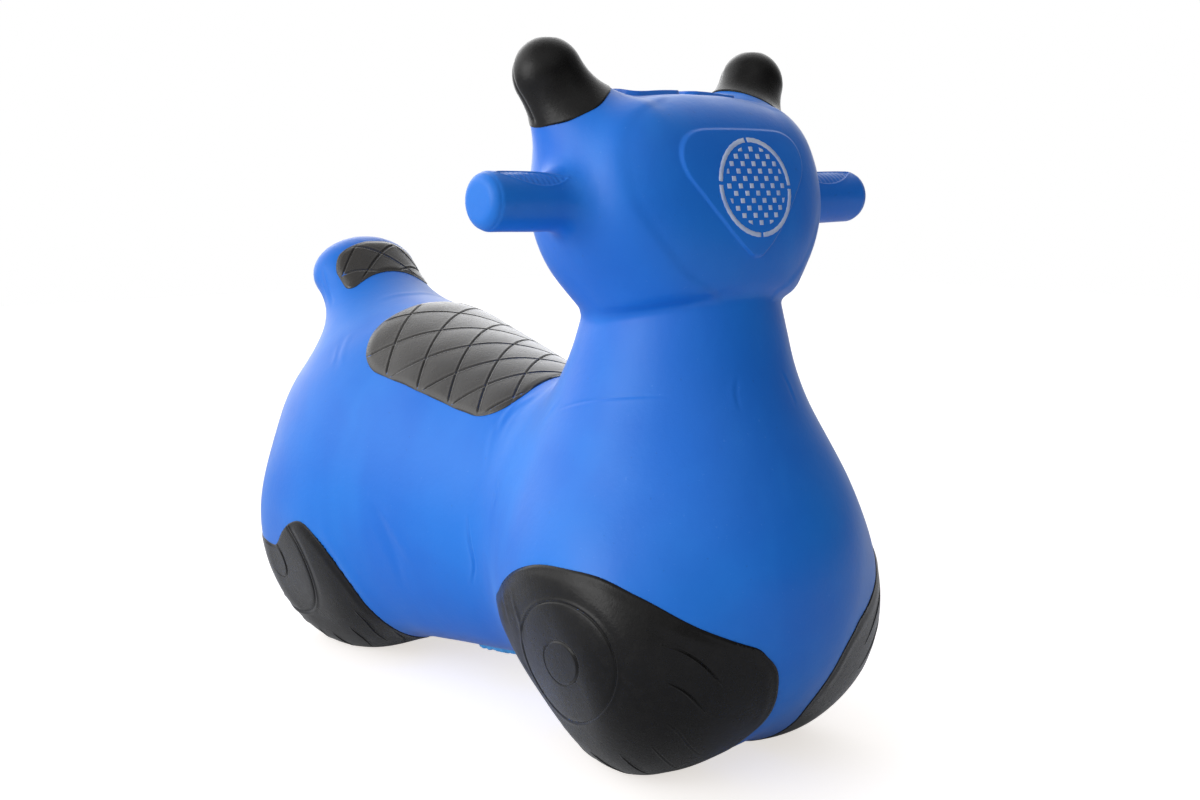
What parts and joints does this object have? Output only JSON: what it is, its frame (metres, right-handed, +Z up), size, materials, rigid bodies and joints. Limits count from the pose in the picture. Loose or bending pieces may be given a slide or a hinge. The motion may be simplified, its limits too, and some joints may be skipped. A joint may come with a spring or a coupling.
{
  "type": "inflatable ride-on motorcycle toy",
  "caption": "Soft inflatable bouncy toy shaped like a small motorcycle, with moulded wheels, a quilted saddle and grip handles, which a toddler sits on and hops along.",
  "frame": {"origin": "on the floor under the middle of the toy's bounding box", "axes": "+Z up, front faces -Y, the rider's right is -X; symmetric about X = 0"},
  "size_m": [0.3494, 0.6103, 0.4925],
  "materials": {
    "blue_skin": "satin",
    "black_paint": "satin",
    "pale_valve": "satin",
    "white_print": "matte"
  },
  "bodies": {
    "toy": {"body_shell": "blue_skin", "belly_disc": "blue_skin", "front_wheel_coat_right": "black_paint", "front_wheel_coat_left": "black_paint", "rear_wheel_coat_right": "black_paint", "rear_wheel_coat_left": "black_paint", "mirror_coat_right": "black_paint", "mirror_coat_left": "black_paint", "seat_coat": "black_paint", "tail_coat": "black_paint", "valve_sleeve": "pale_valve"},
    "plug": {"valve_plug": "pale_valve"}
  },
  "joints": [
    {"name": "plug_slide", "type": "slide", "parent": "toy", "child": "plug", "axis": [0, 0.9136, 0.4067], "range_m": [0, 0.022]}
  ]
}
